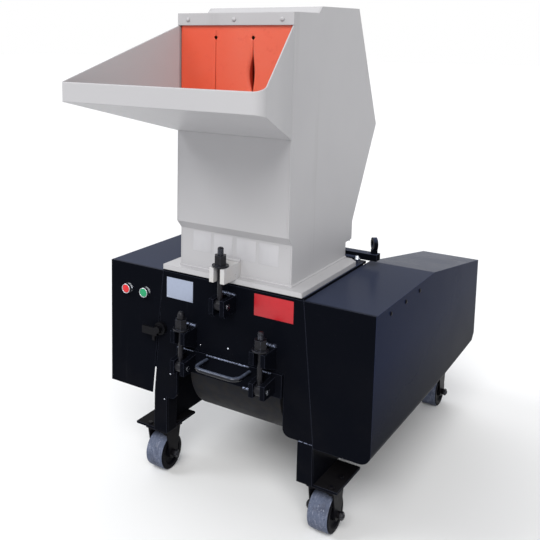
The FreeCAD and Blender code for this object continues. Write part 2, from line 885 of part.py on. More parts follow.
def cradle():
    """The screen cradle that drops for cleaning: face plate, rim, trough, ends and handle."""
    half = "(arch_half - cradle_side_gap)"
    face = block("cradle_face_plate", "-" + half, "cradle_face", "cradle_under", "2 * " + half,
                 "cradle_plate_thick", "cradle_top - cradle_under")
    keep("cradle_face_plate", face)
    slab = block("rim_slab", "-" + half, "cradle_back", "cradle_under", "2 * " + half,
                 "chamber_deep - cradle_back", "rim_thick")
    hole = block("rim_hole", "-(trough_half - trough_sheet)", "trough_middle - trough_radius + trough_sheet",
                 "cradle_under - 1", "2 * (trough_half - trough_sheet)", "2 * (trough_radius - trough_sheet)",
                 "rim_thick + 2")
    keep("cradle_rim", cut("cradle_rim", slab, hole))
    between = "(trough_half - trough_sheet)"
    outer = half_round("trough_outer", "-" + between, "trough_radius", "2 * " + between)
    inner = half_round("trough_inner", "-trough_half", "trough_radius - trough_sheet", "2 * trough_half")
    pieces = [cut("trough_shell", outer, inner)]
    for side, start in (("left", "-trough_half"), ("right", "trough_half - trough_sheet")):
        pieces.append(half_round("trough_end_" + side, start, "trough_radius", "trough_sheet"))
    keep("cradle_trough", joined("cradle_trough", pieces))
    front = "cradle_face - handle_reach"
    bars = []
    for side, x in (("left", "handle_left"), ("right", "handle_right")):
        bars.append(rod("handle_arm_" + side, x, front + " + handle_bend", "handle_high", "handle_radius",
                        "handle_reach - handle_bend", "y"))
    bars.append(rod("handle_grip", "handle_left + handle_bend", front, "handle_high", "handle_radius",
                    "handle_right - handle_left - 2 * handle_bend", "x"))
    corners = (("left", "handle_left + handle_bend", 180), ("right", "handle_right - handle_bend", 270))
    for side, x, degrees in corners:
        bend = document.addObject("Part::Torus", "handle_bend_" + side)
        turn(bend, (0, 0, 1), degrees)
        bend.setExpression("Radius1", bound("handle_bend"))
        bend.setExpression("Radius2", bound("handle_radius"))
        bend.Angle3 = 90
        place(bend, x, front + " + handle_bend", "handle_high")
        bars.append(bend)
    keep("cradle_handle", joined("cradle_handle", bars))


def left_cover():
    """The cover over the control gear: sheet front, top, side and back, open below and towards the frame."""
    face = [
        ("-left_cover_half", "chamber_top"),
        ("-top_half - cover_gap", "chamber_top"),
        ("-knee_half - cover_gap", "left_cover_under"),
        ("-left_cover_half", "left_cover_under"),
    ]
    side = [
        ("0", "chamber_top"),
        ("left_cover_deep", "chamber_top"),
        ("left_cover_deep", "left_cover_under + left_cover_rise"),
        ("0", "left_cover_under"),
    ]
    front = prism("left_cover_face", "XZ", face, "0", "left_cover_deep")
    flank = prism("left_cover_flank", "YZ", side, "-left_cover_half", "left_cover_half")
    outer = overlap("left_cover_outer", front, flank)
    inner = block("left_cover_inner", "-left_cover_half + cover_sheet", "cover_sheet",
                  "left_cover_under - cover_sheet", "left_cover_half", "left_cover_deep - 2 * cover_sheet",
                  "chamber_top - left_cover_under")
    keep("left_cover", cut("left_cover", outer, inner))


def belt_guard():
    """The closed cover over the belts, level at the front and falling to the back."""
    face = [
        (half_at("chamber_top") + " + cover_gap", "chamber_top"),
        ("guard_half", "chamber_top"),
        ("guard_half", "guard_under"),
        ("knee_half + cover_gap", "guard_under"),
        ("knee_half + cover_gap", "knee_high"),
    ]
    front = prism("guard_face", "XZ", face, "0", "guard_back", {"guard_corner": [2]})
    side = [
        ("0", "chamber_top"),
        ("guard_fold", "chamber_top"),
        ("guard_back", "guard_back_high"),
        ("guard_back", "guard_under + guard_rear_rise + guard_heel"),
        ("guard_back - guard_heel", "guard_under + guard_rear_rise"),
        ("0", "guard_under"),
    ]
    flank = prism("guard_flank", "YZ", side, "top_half", "guard_half")
    keep("belt_guard", overlap("belt_guard", front, flank))


def controls():
    """Stop and start buttons in their bezels, and the latch of the cover with its lever."""
    bezels = []
    for label, x in (("stop", "stop_x"), ("start", "start_x")):
        bezel = [
            ("0", "0"),
            ("0", "bezel_radius - bezel_slope"),
            ("bezel_thick", "bezel_radius"),
            ("bezel_thick", "0"),
        ]
        bezels.append(turned("bezel_" + label, bezel, x, "-bezel_thick", "button_high", "y"))
        cap = [
            ("0", "0"),
            ("0", "cap_radius - cap_slope"),
            ("cap_slope", "cap_radius"),
            ("cap_thick", "cap_radius"),
            ("cap_thick", "0"),
        ]
        button = turned("button_" + label, cap, x, "-bezel_thick - cap_thick", "button_high", "y")
        keep("button_" + label, button)
    keep("button_bezels", grouped("button_bezels", bezels))
    face = "-latch_thick"
    disc = rod("latch_disc", "latch_x", face, "latch_high", "latch_radius", "latch_thick", "y")
    hub = rod("latch_hub_disc", "latch_x", face + " - latch_hub_thick", "latch_high",
              "latch_hub", "latch_hub_thick", "y")
    front = face + " - latch_hub_thick"
    lever = block("latch_lever_bar", "latch_x - latch_lever", front,
                  "latch_high + latch_hub / 2 - latch_lever_high", "latch_lever", "latch_lever_thick",
                  "latch_lever_high")
    stem = block("latch_stem_bar", "latch_x - latch_stem_place", front + " + latch_lever_thick",
                 "latch_high - latch_stem_drop", "latch_stem", "latch_stem", "latch_stem_drop")
    keep("cover_latch", joined("cover_latch", [disc, hub, lever, stem]))


def rear_hinge():
    """The bar behind the neck on its pad, the hinge knuckles before it and the lifting eye."""
    under = "flange_under"
    bar = block("beam_bar", "-beam_half", "beam_front", under + " + beam_lift", "2 * beam_half", "beam_deep",
                "beam_high")
    pad = block("beam_pad", "-knuckle_inner", "beam_front", under, "2 * knuckle_inner", "beam_deep",
                "beam_lift")
    keep("rear_beam", joined("rear_beam", [bar, pad]))
    knuckles = []
    long = "knuckle_outer - knuckle_inner"
    for side, start in (("left", "-knuckle_outer"), ("right", "knuckle_inner")):
        knuckle = rod("knuckle_" + side, start, "flange_back + knuckle_radius", under + " + knuckle_lift",
                      "knuckle_radius", long, "x")
        knuckles.append(knuckle)
    keep("hinge_knuckles", grouped("hinge_knuckles", knuckles))
    foot = under + " + beam_lift + beam_high"
    middle = "beam_front + beam_deep / 2"
    collar = rod("lift_collar_disc", "lift_eye_x", middle, foot, "lift_collar", "lift_collar_high")
    section = [
        ("-lift_thick / 2", "lift_hole"),
        ("lift_thick / 2", "lift_hole"),
        ("lift_thick / 2", "lift_ring"),
        ("-lift_thick / 2", "lift_ring"),
    ]
    centre = foot + " + lift_collar_high + lift_ring - lift_sunk"
    ring = turned("lift_ring_disc", section, "lift_eye_x", middle, centre)
    turn(ring, (0, 0, 1), SIZES["lift_turn"])
    keep("lifting_eye", joined("lifting_eye", [collar, ring]))


def motor():
    """The electric motor on its shelf between the side plates, fins round its body."""
    shelf = block("motor_shelf", "-(left_knee_half - plate_thick)", "chamber_deep", "base_shelf_high",
                  "knee_half + left_knee_half - 2 * plate_thick", "frame_back - panel_thick - chamber_deep",
                  "base_shelf_thick")
    keep("motor_shelf", shelf)
    half = "motor_long / 2"
    barrel = rod("motor_barrel", "-" + half, "motor_back", "motor_high", "motor_radius - fin_deep",
                 "motor_long", "x")
    fins = []
    for number in range(SIZES["fin_count"]):
        angle = 360 / SIZES["fin_count"] * number
        fin = document.addObject("Part::Box", "motor_fin_%d" % number)
        fin.setExpression("Length", bound("motor_long"))
        fin.setExpression("Width", bound("fin_thick"))
        fin.setExpression("Height", bound("motor_radius"))
        fin.Placement.Rotation = FreeCAD.Rotation(FreeCAD.Vector(1, 0, 0), angle)
        shift = "fin_thick / 2"
        place(fin, "-" + half, "motor_back - %s * %.6f" % (shift, math.cos(math.radians(angle))),
              "motor_high - %s * %.6f" % (shift, math.sin(math.radians(angle))))
        fins.append(fin)
    keep("motor_body", joined("motor_body", [barrel] + fins))
    shields = []
    for side, start in (("drive", half), ("fan", "-%s - motor_end_thick" % half)):
        shield = rod("motor_end_" + side, start, "motor_back", "motor_high", "motor_end_radius",
                     "motor_end_thick", "x")
        shields.append(shield)
    keep("motor_ends", grouped("motor_ends", shields))
    cowl = rod("motor_cowl", "-%s - motor_end_thick - cowl_long" % half, "motor_back", "motor_high",
               "cowl_radius", "cowl_long", "x")
    keep("motor_cowl", cowl)
    floor = "base_shelf_high + base_shelf_thick"
    feet = []
    for side, middle in (("left", "-motor_foot_spread / 2"), ("right", "motor_foot_spread / 2")):
        start = middle + " - motor_foot_wide / 2"
        foot = block("motor_foot_" + side, start, "motor_back - motor_foot_half", floor,
                     "motor_foot_wide", "2 * motor_foot_half", "motor_foot_reach")
        feet.append(foot)
    space = rod("motor_feet_space", "-motor_long", "motor_back", "motor_high", "motor_radius + seat_gap",
                "2 * motor_long", "x")
    keep("motor_feet", cut("motor_feet", grouped("motor_feet_blocks", feet), space))
    box = block("terminal_box", "-terminal_size / 2", "motor_back - terminal_size / 2",
                "motor_high + motor_radius", "terminal_size", "terminal_size", "terminal_high")
    keep("terminal_box", box)


front_panel()
side_plates()
rear_panel()
corner_posts()
foot_plates()
for end, y in (("front", "wheel_front"), ("rear", "rear_wheel")):
    castor(end + "_left", "-wheel_left", y)
    castor(end + "_right", "wheel_right", y)
chamber()
hopper_sides()
hopper_front()
hopper_back()
hopper_roof()
curtain()
tray()
hopper_flange()
hopper_fork()
side_forks()
lugs()
swing_bolt("top", "0", "top_pin_high")
swing_bolt("left", "-side_bolt_x", "side_pin_high")
swing_bolt("right", "side_bolt_x", "side_pin_high")
pins()
cradle()
left_cover()
belt_guard()
controls()
rear_hinge()
motor()

document.recompute()
for thing in document.Objects:
    if "Invalid" in thing.State or "Error" in thing.State:
        raise RuntimeError("failed object: %s %s" % (thing.Name, thing.State))
for name, thing in PARTS.items():
    shape = thing.Shape
    if shape.isNull() or not shape.isValid() or not shape.Solids:
        raise RuntimeError("bad sub-part: " + name)

os.makedirs("parts", exist_ok=True)
for name, thing in PARTS.items():
    thing.Shape.exportStep("parts/%s.step" % name)
print("%d sub-parts written" % len(PARTS))
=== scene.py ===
import json
import math
import random

import bmesh
import bpy
from mathutils import Matrix, Vector


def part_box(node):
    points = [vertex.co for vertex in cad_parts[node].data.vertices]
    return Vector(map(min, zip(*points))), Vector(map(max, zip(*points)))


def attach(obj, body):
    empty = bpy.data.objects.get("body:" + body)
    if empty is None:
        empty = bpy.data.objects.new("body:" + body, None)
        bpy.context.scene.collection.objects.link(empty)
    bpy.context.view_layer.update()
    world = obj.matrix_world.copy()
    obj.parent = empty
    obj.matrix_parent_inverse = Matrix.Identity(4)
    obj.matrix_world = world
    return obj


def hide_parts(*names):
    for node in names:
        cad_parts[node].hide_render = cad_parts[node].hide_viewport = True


# The looks of a plastics granulator on castors. Lengths are in metres: X runs to the machine's
# right, Y to its back and Z up, with the origin on the floor in the middle of the whole.

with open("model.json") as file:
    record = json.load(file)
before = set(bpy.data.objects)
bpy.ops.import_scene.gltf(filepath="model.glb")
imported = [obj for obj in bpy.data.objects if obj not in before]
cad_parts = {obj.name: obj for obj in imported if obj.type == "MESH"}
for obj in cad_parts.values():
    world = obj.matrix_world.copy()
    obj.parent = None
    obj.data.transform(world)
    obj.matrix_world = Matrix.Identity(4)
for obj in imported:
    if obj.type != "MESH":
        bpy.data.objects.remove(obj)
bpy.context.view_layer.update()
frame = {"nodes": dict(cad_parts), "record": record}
NODES = frame["nodes"]
BODY = "machine"

# The photograph's camera: where it stood, which way it looked and how it framed the machine.
IMAGE_SIDE = 540
CAMERA_PLACE = Vector((0.9874, -1.9871, 1.2202))
CAMERA_AZIMUTH = 36.403
CAMERA_ELEVATION = 8.003
CAMERA_ROLL = 0.162
FOCAL_PIXELS = 795
PRINCIPAL_X = 149.9
PRINCIPAL_Y = 144.2
SENSOR = 36

# Places on the machine that pieces and finishes share.
MM = 0.001
PANEL_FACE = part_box("front_panel")[0].y
GUARD_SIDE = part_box("belt_guard")[1].x
COVER_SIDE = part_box("left_cover")[0].x
BOLT_LINE = PANEL_FACE - 45 * MM

# The curtain: two slits that end in a round hole, the gape of the right one, and the turned-back
# edge of the middle flap beside it.
SHEET_THICK = 0.0032
SLITS = (-0.052, 0.052)
SLIT_TOP = 1.213
SLIT_HALF = 0.0004
HOLE = 0.0046
GAPE = 0.0058
GAPE_HEIGHT = 1.122
GAPE_REACH = 0.042
CURL = 0.016
CURL_FROM = 0.88

# The floor and the world: as they light the machine, and as they are seen.
FLOOR_LIT = (0.70, 0.70, 0.70, 1)
FLOOR_SEEN = (0.92, 0.92, 0.92, 1)
WORLD_LIT = (0.43, 0.435, 0.45, 1)
WORLD_SEEN = (1, 1, 1, 1)

# Soft lamps: name, way towards the lamp, spread in degrees, power and colour.
LAMPS = (
    ("key", (0.27, -0.70, 0.66), 38, 2.15, (1.0, 0.995, 0.98)),
    ("window", (-0.59, -0.48, 0.64), 22, 0.75, (0.96, 0.98, 1.0)),
    ("fill", (-0.55, 0.35, 0.76), 60, 0.7, (0.97, 0.98, 1.0)),
)


def spot(x, y, z):
    """A place from millimetres, with y counted from the front panel's face."""
    return Vector((x * MM, PANEL_FACE + y * MM, z * MM))


def srgb(red, green, blue):
    """A linear colour from eight-bit screen values."""
    def linear(value):
        share = value / 255
        return share / 12.92 if share <= 0.04045 else ((share + 0.055) / 1.055) ** 2.4
    return (linear(red), linear(green), linear(blue), 1)


# Materials


class Surface:
    """A node material that is built up from a principled shader."""

    def __init__(self, name, color, roughness, metallic=0, specular=0.5):
        self.material = bpy.data.materials.new(name)
        self.material.use_nodes = True
        self.nodes = self.material.node_tree.nodes
        self.links = self.material.node_tree.links
        self.shader = self.nodes["Principled BSDF"]
        self.shader.inputs["Base Color"].default_value = color
        self.shader.inputs["Roughness"].default_value = roughness
        self.shader.inputs["Metallic"].default_value = metallic
        self.shader.inputs["Specular IOR Level"].default_value = specular
        self.place = self.add("ShaderNodeTexCoord").outputs["Object"]
        self.normal = None

    def add(self, kind, **values):
        """A new node with some of its settings."""
        node = self.nodes.new(kind)
        for key, value in values.items():
            setattr(node, key, value)
        return node

    def coordinate(self, vector, axis):
        """One coordinate of a vector."""
        split = self.add("ShaderNodeSeparateXYZ")
        self.links.new(vector, split.inputs["Vector"])
        return split.outputs[axis]

    def facing(self):
        """The way the surface faces, with its edges still sharp."""
        return self.add("ShaderNodeNewGeometry").outputs["Normal"]

    def noise(self, scale, detail=3, roughness=0.55, stretch=None):
        """A cloudy value, finer as the scale grows and drawn out where it is stretched."""
        place = self.place
        if stretch:
            mapping = self.add("ShaderNodeMapping")
            mapping.inputs["Scale"].default_value = stretch
            self.links.new(place, mapping.inputs["Vector"])
            place = mapping.outputs["Vector"]
        node = self.add("ShaderNodeTexNoise")
        self.links.new(place, node.inputs["Vector"])
        node.inputs["Scale"].default_value = scale
        node.inputs["Detail"].default_value = detail
        node.inputs["Roughness"].default_value = roughness
        return node.outputs["Fac"]

    def spread(self, value, low, high, to_low=0, to_high=1):
        """Stretch a range of a value to another range, held at its ends."""
        node = self.add("ShaderNodeMapRange")
        node.inputs["From Min"].default_value = low
        node.inputs["From Max"].default_value = high
        node.inputs["To Min"].default_value = to_low
        node.inputs["To Max"].default_value = to_high
        self.links.new(value, node.inputs["Value"])
        return node.outputs["Result"]

    def times(self, first, second):
        """The product of a value and another one or a number."""
        node = self.add("ShaderNodeMath", operation="MULTIPLY")
        self.links.new(first, node.inputs[0])
        if isinstance(second, bpy.types.NodeSocket):
            self.links.new(second, node.inputs[1])
        else:
            node.inputs[1].default_value = second
        return node.outputs[0]

    def tint(self, mask, color, share=1):
        """Blend a share of another colour into the base colour where the mask is 1."""
        if share != 1:
            mask = self.times(mask, share)
        base = self.shader.inputs["Base Color"]
        node = self.add("ShaderNodeMix", data_type="RGBA")
        self.links.new(mask, node.inputs["Factor"])
        if base.links:
            self.links.new(base.links[0].from_socket, node.inputs["A"])
        else:
            node.inputs["A"].default_value = base.default_value
        node.inputs["B"].default_value = color
        self.links.new(node.outputs["Result"], base)

    def rough(self, value, low, high):
        """Vary the roughness between two values with a value from 0 to 1."""
        self.links.new(self.spread(value, 0, 1, low, high), self.shader.inputs["Roughness"])

    def soften(self, radius):
        """Round the edges a little where the light meets them."""
        node = self.add("ShaderNodeBevel", samples=6)
        node.inputs["Radius"].default_value = radius
        self.normal = node.outputs["Normal"]
        self.links.new(self.normal, self.shader.inputs["Normal"])

    def bump(self, height, distance, strength=1.0):
        """Raise the surface a little with a value, on top of what it has already."""
        node = self.add("ShaderNodeBump")
        node.inputs["Strength"].default_value = strength
        node.inputs["Distance"].default_value = distance
        self.links.new(height, node.inputs["Height"])
        if self.normal:
            self.links.new(self.normal, node.inputs["Normal"])
        self.normal = node.outputs["Normal"]
        self.links.new(self.normal, self.shader.inputs["Normal"])

    def up_facing(self):
        """A mask of what faces up: where dust settles, and where some finishes take a painted
        highlight or a painted reflection.
        """
        return self.spread(self.coordinate(self.facing(), "Z"), 0.3, 0.95)

    def side_facing(self):
        """A mask of what faces along X, such as the flanks of the wheels."""
        size = self.add("ShaderNodeMath", operation="ABSOLUTE")
        self.links.new(self.coordinate(self.facing(), "X"), size.inputs[0])
        return self.spread(size.outputs[0], 0.45, 0.6)

    def edges(self):
        """A mask of the softened edges, where a painted highlight goes."""
        edge_highlight = self.add("ShaderNodeVectorMath", operation="DOT_PRODUCT")
        self.links.new(self.normal, edge_highlight.inputs[0])
        self.links.new(self.facing(), edge_highlight.inputs[1])
        return self.spread(edge_highlight.outputs["Value"], 0.90, 0.99, 1, 0)

    def within(self, share):
        """A mask of what lies nearer to a wheel's axis than a share of its width."""
        mapping = self.add("ShaderNodeMapping")
        mapping.inputs["Scale"].default_value = (0, 1, 1)
        mapping.inputs["Location"].default_value = (0, -0.5, -0.5)
        inside = self.add("ShaderNodeTexCoord").outputs["Generated"]
        self.links.new(inside, mapping.inputs["Vector"])
        reach = self.add("ShaderNodeVectorMath", operation="LENGTH")
        self.links.new(mapping.outputs["Vector"], reach.inputs[0])
        return self.spread(reach.outputs["Value"], share, share + 0.015, 1, 0)

    def along(self, axis, low, high, to_low=0, to_high=1):
        """A value that goes from one number to another between two places along an axis."""
        return self.spread(self.coordinate(self.place, axis), low, high, to_low, to_high)

    def height(self, full, none):
        """A mask that is 1 at one height and 0 at another."""
        ends = (float(full < none), float(full > none))
        return self.along("Z", min(full, none), max(full, none), *ends)


def black_paint():
    """Glossy black enamel with a slight orange peel, fine scratches and pale dust, with a painted
    highlight on its edges and painted blue sky reflections on upper faces and on one side.
    """
    paint = Surface("black_paint", (0.0036, 0.0042, 0.0068, 1), 0.22, specular=0.006)
    paint.soften(0.0012)
    patches = paint.noise(7, 5, 0.6)
    scratches = paint.spread(paint.noise(90, 2, 0.5, (1.0, 1.0, 0.06)), 0.70, 0.76)
    specks = paint.spread(paint.noise(420, 2, 0.5), 0.75, 0.79)
    low_dust = paint.times(paint.spread(patches, 0.45, 0.75), paint.height(0.10, 0.55))
    behind = paint.along("Y", PANEL_FACE, PANEL_FACE + 0.01)
    covers = paint.times(behind, paint.height(0.25, 0.2))
    sky_reflection_on_tops = paint.times(paint.up_facing(), covers)
    feet = paint.times(paint.up_facing(), paint.height(0.2, 0.25))
    guard_side_reflection = paint.along("X", GUARD_SIDE - 0.0008, GUARD_SIDE - 0.0003)
    paint.tint(low_dust, srgb(120, 112, 104), 0.022)
    # Painted reflection: a blue sky sheen on the upward faces behind the panel's face.
    paint.tint(sky_reflection_on_tops, srgb(108, 118, 150), 0.24)
    paint.tint(feet, srgb(150, 138, 126), 0.022)
    # Painted highlight: a pale bluish colour along the softened edges.
    paint.tint(paint.edges(), srgb(120, 126, 150), 0.22)
    # Painted reflection: blue on the upper part of the belt housing's outer side, fading out lower
    # down.
    paint.tint(paint.times(guard_side_reflection, paint.height(0.46, 0.22)), srgb(20, 66, 146), 0.10)
    paint.tint(specks, srgb(150, 150, 150), 0.10)
    paint.tint(scratches, srgb(170, 175, 185), 0.006)
    paint.rough(patches, 0.16, 0.32)
    paint.bump(paint.noise(260, 2, 0.4), 0.00025, 0.16)
    return paint.material


def hopper_paint():
    """Light grey satin paint on sheet, slightly wavy, with faint streaks and a few specks."""
    paint = Surface("hopper_paint", srgb(187, 186, 188), 0.42, specular=0.35)
    paint.soften(0.0025)
    clouds = paint.noise(3.2, 4, 0.55)
    streaks = paint.noise(26, 3, 0.6, (1.0, 1.0, 0.05))
    specks = paint.noise(310, 2, 0.5)
    paint.tint(paint.spread(clouds, 0.35, 0.7, 0.0, 0.2), srgb(172, 171, 175))
    paint.tint(paint.spread(streaks, 0.62, 0.72), srgb(150, 148, 146), 0.16)
    paint.tint(paint.spread(specks, 0.765, 0.79), srgb(110, 106, 102), 0.4)
    paint.rough(clouds, 0.34, 0.5)
    paint.bump(paint.noise(5.5, 2, 0.4), 0.006, 0.12)
    paint.bump(paint.noise(330, 2, 0.4), 0.0002, 0.12)
    return paint.material


def fork_paint():
    """The hopper's paint on thick plate, brushed on and chipped near the bolt."""
    paint = Surface("fork_paint", srgb(196, 195, 196), 0.4, specular=0.4)
    paint.soften(0.0018)
    paint.tint(paint.spread(paint.noise(30, 3), 0.4, 0.7, 0, 0.3), srgb(188, 182, 168))
    paint.tint(paint.spread(paint.noise(120, 4, 0.6), 0.66, 0.69), srgb(90, 78, 60), 0.7)
    paint.bump(paint.noise(90, 3), 0.0006, 0.35)
    return paint.material


def flap_sheet():
    """Orange-red flexible sheet that lets a little light through, with painted shade on the middle
    flap's turned-back edge in the open slit.
    """
    sheet = Surface("flap_sheet", srgb(226, 84, 52), 0.36, specular=0.4)
    sheet.shader.inputs["Subsurface Weight"].default_value = 0.35
    sheet.shader.inputs["Subsurface Radius"].default_value = (0.006, 0.002, 0.001)
    sheet.shader.inputs["Subsurface Scale"].default_value = 1.0
    low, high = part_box("curtain")
    middle = (low.y + high.y) / 2
    glow = sheet.noise(5.0, 3, 0.5)
    sheet.tint(sheet.spread(glow, 0.35, 0.7, 0, 0.35), srgb(232, 112, 92))
    sheet.tint(sheet.along("X", -0.07, 0.02, 0, 0.3), srgb(238, 134, 112))
    sheet.tint(sheet.spread(sheet.noise(60, 3), 0.6, 0.75), srgb(205, 72, 50), 0.25)
    # Painted shade: dark red on the middle flap's turned-back edge, behind the sheet's middle.
    sheet.tint(sheet.along("Y", middle + 0.0022, middle + 0.0045), srgb(158, 24, 8), 0.9)
    sheet.rough(glow, 0.3, 0.46)
    sheet.bump(sheet.noise(11, 3, 0.5), 0.004, 0.25)
    sheet.bump(sheet.noise(420, 2), 0.0002, 0.15)
    return sheet.material


def steel(name, color, roughness, scale, grime=None, amount=0.0, peel=0.3, metallic=1.0,
          edge_highlight=None, top_highlight=None, specular=0.5):
    """Bare or treated steel with uneven lustre and, where asked, grime and a painted highlight on
    its edges or on its top.
    """
    metal = Surface(name, color, roughness, metallic=metallic, specular=specular)
    metal.soften(0.0008)
    if edge_highlight:
        # Painted highlight along the softened edges.
        metal.tint(metal.edges(), edge_highlight, 0.5)
    if top_highlight:
        # Painted highlight on what faces up.
        metal.tint(metal.up_facing(), top_highlight, 0.55)
    metal.rough(metal.noise(scale, 4, 0.6), roughness * 0.7, min(roughness * 1.5, 1))
    if grime:
        metal.tint(metal.spread(metal.noise(scale * 1.7, 4), 0.42, 0.68, 0, amount), grime)
    metal.bump(metal.noise(scale * 7, 3), 0.0004, peel)
    return metal.material


def tread():
    """Hard, much-used tread, blue-grey where it rolls, partly as a painted highlight, and dark on
    its flanks, with scuffs across it.
    """
    rubber = Surface("wheel_tread", srgb(92, 99, 118), 0.4, specular=0.04)
    rubber.soften(0.0015)
    flank = srgb(14, 14, 19)
    scuffs = rubber.noise(55, 4, 0.65, (3.0, 1.0, 1.0))
    rubber.tint(rubber.spread(scuffs, 0.5, 0.7, 0, 0.6), srgb(140, 145, 162))
    rubber.tint(rubber.spread(rubber.noise(24, 4), 0.52, 0.7, 0, 0.7), srgb(60, 62, 74))
    rubber.tint(rubber.spread(rubber.noise(260, 2), 0.64, 0.7, 0, 0.5), srgb(168, 172, 186))
    rubber.tint(rubber.spread(rubber.noise(210, 2), 0.62, 0.7, 0, 0.5), srgb(44, 46, 56))
    # The flanks and the middle take the dark colour; the lighter running surface is partly a
    # painted highlight.
    rubber.tint(rubber.side_facing(), flank)
    rubber.tint(rubber.within(0.465), flank)
    rubber.rough(scuffs, 0.3, 0.6)
    rubber.bump(scuffs, 0.0012, 0.35)
    return rubber.material


def plastic(name, color, roughness, specular=0.5):
    """Moulded plastic with a fine grain and a faint mottling."""
    moulded = Surface(name, color, roughness, specular=specular)
    moulded.soften(0.0008)
    mottle = moulded.noise(60, 3)
    darker = tuple(0.6 * value for value in color[:3]) + (1,)
    moulded.rough(mottle, roughness * 0.8, roughness * 1.3)
    moulded.tint(moulded.spread(mottle, 0.4, 0.7, 0, 0.12), darker)
    moulded.bump(moulded.noise(500, 2), 0.0001, 0.2)
    return moulded.material


def enamel(name, color):
    """Machine enamel on castings, with dust on what faces up."""
    coat = Surface(name, color, 0.4)
    coat.soften(0.0012)
    coat.tint(coat.up_facing(), srgb(140, 136, 128), 0.25)
    coat.rough(coat.noise(18, 4), 0.32, 0.56)
    coat.bump(coat.noise(160, 3), 0.0003, 0.3)
    return coat.material


def film(name, color, mottle, scale, grain, roughness, distance=0.00005, strength=0.2, metallic=0,
         clouds=(0.4, 0.7, 0, 0.3), detail=2):
    """The thin finish of a plate, a patch or a bead, with a faint mottling and a fine grain."""
    coat = Surface(name, color, roughness, metallic=metallic)
    coat.tint(coat.spread(coat.noise(scale, 3), *clouds), mottle)
    coat.bump(coat.noise(grain, detail), distance, strength)
    return coat.material


MATERIALS = {
    "black_paint": black_paint(),
    "castor_steel": steel("castor_steel", srgb(15, 15, 20), 0.34, 60, srgb(24, 21, 20), 0.6,
                          metallic=0.0, specular=0.05),
    "wheel_tread": tread(),
    "hopper_paint": hopper_paint(),
    "fork_paint": fork_paint(),
    "curtain_sheet": flap_sheet(),
    # The bolts' pale edges are a painted highlight.
    "bolt_steel": steel("bolt_steel", srgb(22, 22, 28), 0.34, 110, srgb(12, 11, 13), 0.8,
                        metallic=0.2, edge_highlight=srgb(120, 126, 145), specular=0.25),
    "pin_steel": steel("pin_steel", srgb(190, 195, 205), 0.24, 160, srgb(110, 112, 118), 0.4),
    # The handle's pale top is a painted highlight.
    "handle_steel": steel("handle_steel", srgb(16, 18, 26), 0.11, 40, srgb(10, 10, 14), 0.5,
                          peel=0.1, metallic=0.2, top_highlight=srgb(118, 128, 152), specular=0.35),
    "trough_steel": steel("trough_steel", srgb(32, 33, 38), 0.5, 30, srgb(42, 39, 36), 0.6,
                          metallic=0.1, specular=0.1),
    "bezel_chrome": steel("bezel_chrome", srgb(205, 208, 214), 0.16, 200),
    "stop_red": plastic("stop_red", srgb(214, 22, 30), 0.3),
    "start_green": plastic("start_green", srgb(6, 150, 96), 0.3),
    "latch_plastic": plastic("latch_plastic", srgb(12, 12, 16), 0.42, specular=0.1),
    "motor_paint": enamel("motor_paint", srgb(84, 92, 100)),
    "cowl_paint": enamel("cowl_paint", srgb(74, 82, 92)),
}

PLATE_PALE = film("plate_pale", srgb(158, 167, 188), srgb(146, 154, 174), 120, 400, 0.3,
                  metallic=0.15)
PLATE_RED = film("plate_red", srgb(180, 20, 32), srgb(160, 16, 26), 90, 300, 0.34,
                 clouds=(0.45, 0.7, 0, 0.25))
PATCH_FILM = film("patch_film", srgb(194, 193, 196), srgb(186, 185, 190), 40, 60, 0.22,
                  distance=0.0002, strength=0.15)
# The beads' bright bluish metal is a painted highlight on beads that are glossy black.
WELD_BEAD_HIGHLIGHT = film("weld_bead", srgb(120, 128, 150), srgb(34, 36, 46), 160, 300, 0.26,
                 distance=0.0006, strength=0.5, metallic=0.8, clouds=(0.42, 0.6, 0, 0.85), detail=3)

for part in frame["record"]["subparts"]:
    node = NODES[part["node"]]
    node.data.materials.clear()
    node.data.materials.append(MATERIALS[part["material_slot"]])


# Mesh helpers


def finish_piece(name, mesh, slot, material=None, body=BODY, smooth=30):
    """Turn a built mesh into a named piece that rides on a body."""
    data = bpy.data.meshes.new(name)
    bmesh.ops.recalc_face_normals(mesh, faces=mesh.faces)
    mesh.to_mesh(data)
    mesh.free()
    piece = bpy.data.objects.new(name, data)
    bpy.context.scene.collection.objects.link(piece)
    data.materials.append(material or MATERIALS[slot])
    data.shade_smooth()
    data.set_sharp_from_angle(angle=math.radians(smooth))
    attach(piece, body)
    return piece


def upright(direction):
    """A rotation that turns +Z to a direction."""
    return Vector((0, 0, 1)).rotation_difference(Vector(direction).normalized()).to_matrix()


def add_ring(mesh, centre, turn, radii, along=0.0, spin=0.0):
    """A ring of vertices round a turned axis, one at each radius, some way along that axis."""
    ring = []
    for index, radius in enumerate(radii):
        angle = 2 * math.pi * index / len(radii) + spin
        place = Vector((radius * math.cos(angle), radius * math.sin(angle), along))
        ring.append(mesh.verts.new(Vector(centre) + turn @ place))
    return ring


def skin(mesh, rings, closed=False):
    """Join rings of vertices with faces, and either cap both ends or join them to each other."""
    if closed:
        rings = rings + rings[:1]
    sides = len(rings[0])
    for lower, upper in zip(rings, rings[1:]):
        for index in range(sides):
            follower = (index + 1) % sides
            mesh.faces.new((lower[index], lower[follower], upper[follower], upper[index]))
    if not closed:
        mesh.faces.new(list(reversed(rings[0])))
        mesh.faces.new(rings[-1])


def lathe(mesh, centre, direction, profile, sides=24, closed=False):
    """A turned form. Its profile gives places along the direction and the radius at each."""
    turn = upright(direction)
    rings = [add_ring(mesh, centre, turn, [radius] * sides, along) for along, radius in profile]
    skin(mesh, rings, closed)


